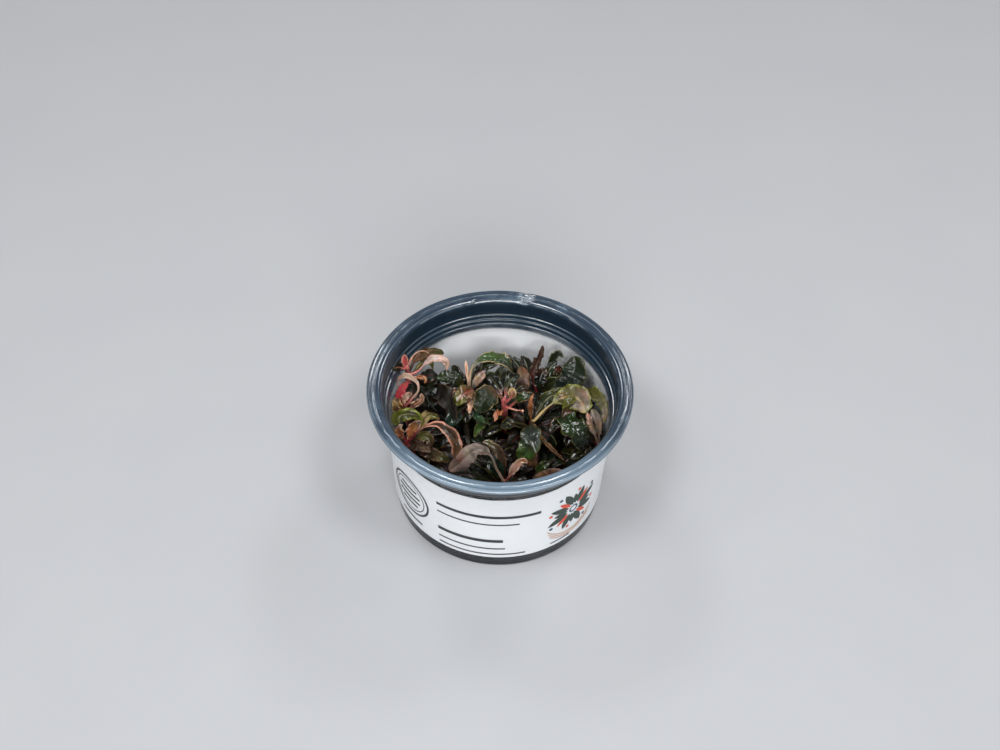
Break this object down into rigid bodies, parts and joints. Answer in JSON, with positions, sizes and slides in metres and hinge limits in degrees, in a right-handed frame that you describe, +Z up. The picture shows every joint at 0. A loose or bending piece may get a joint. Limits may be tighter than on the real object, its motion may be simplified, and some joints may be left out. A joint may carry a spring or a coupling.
{
  "type": "bucephalandra plants in a tissue culture cup",
  "caption": "Small cup of crowded aquarium plants with wavy dark green, bronze and salmon pink leaves, rooted in clear gel inside a see-through plastic cup with a white paper sleeve.",
  "frame": {"origin": "centre of the cup's base, on the surface that it stands on", "axes": "+Z up along the cup's axis, -Y towards the viewer of the picture, +X to their right"},
  "size_m": [0.1, 0.1, 0.06],
  "materials": {
    "clear_plastic": "clear, faintly smoky moulded plastic, glossy",
    "paper_label": "smooth white paper",
    "culture_gel": "clear wet jelly",
    "stem": "fleshy, crimson to brown, slightly wet",
    "leaf_dark": "glossy, very dark green",
    "leaf_green": "glossy mid green",
    "leaf_olive": "glossy olive and yellow green",
    "leaf_brown": "satin bronze brown",
    "leaf_mauve": "matte grey mauve underside",
    "leaf_pink": "satin salmon pink",
    "leaf_cream": "satin pale salmon and cream",
    "leaf_red": "satin coral red",
    "leaf_orange": "satin ochre orange"
  },
  "bodies": {
    "root": {"cup": "clear_plastic", "gel": "culture_gel", "label": "paper_label", "leaf_back_left_1": "leaf_dark", "leaf_back_left_2": "leaf_cream", "leaf_back_left_3": "leaf_pink", "leaf_back_left_4": "leaf_orange", "leaf_back_left_5": "leaf_brown", "leaf_back_left_6": "leaf_olive", "leaf_back_right_1": "leaf_dark", "leaf_back_right_2": "leaf_brown", "leaf_back_right_3": "leaf_dark", "leaf_back_right_4": "leaf_dark", "leaf_back_right_5": "leaf_dark", "leaf_back_right_6": "leaf_brown", "leaf_back_right_7": "leaf_mauve", "leaf_centre_1": "leaf_dark", "leaf_centre_2": "leaf_green", "leaf_centre_3": "leaf_green", "leaf_centre_4": "leaf_brown", "leaf_centre_5": "leaf_dark", "leaf_far_right_1": "leaf_mauve", "leaf_far_right_2": "leaf_mauve", "leaf_front_1": "leaf_mauve", "leaf_front_2": "leaf_pink", "leaf_front_3": "leaf_olive", "leaf_front_left_1": "leaf_olive", "leaf_front_left_2": "leaf_orange", "leaf_front_left_3": "leaf_brown", "leaf_front_left_4": "leaf_pink", "leaf_front_left_5": "leaf_olive", "leaf_front_left_6": "leaf_brown", "leaf_front_right_1": "leaf_green", "leaf_front_right_2": "leaf_brown", "leaf_left_1": "leaf_cream", "leaf_left_2": "leaf_red", "leaf_left_3": "leaf_brown", "leaf_left_4": "leaf_brown", "leaf_mid_left_1": "leaf_green", "leaf_mid_left_2": "leaf_dark", "leaf_mid_left_3": "leaf_mauve", "leaf_mid_left_4": "leaf_pink", "leaf_mid_left_5": "leaf_cream", "leaf_mid_left_6": "leaf_brown", "leaf_mid_right_1": "leaf_olive", "leaf_mid_right_2": "leaf_dark", "leaf_mid_right_3": "leaf_cream", "leaf_right_1": "leaf_olive", "leaf_right_2": "leaf_dark", "stem_back_left": "stem", "stem_back_right": "stem", "stem_centre": "stem", "stem_far_right": "stem", "stem_front": "stem", "stem_front_left": "stem", "stem_front_right": "stem", "stem_left": "stem", "stem_mid_left": "stem", "stem_mid_right": "stem", "stem_right": "stem"}
  },
  "joints": []
}
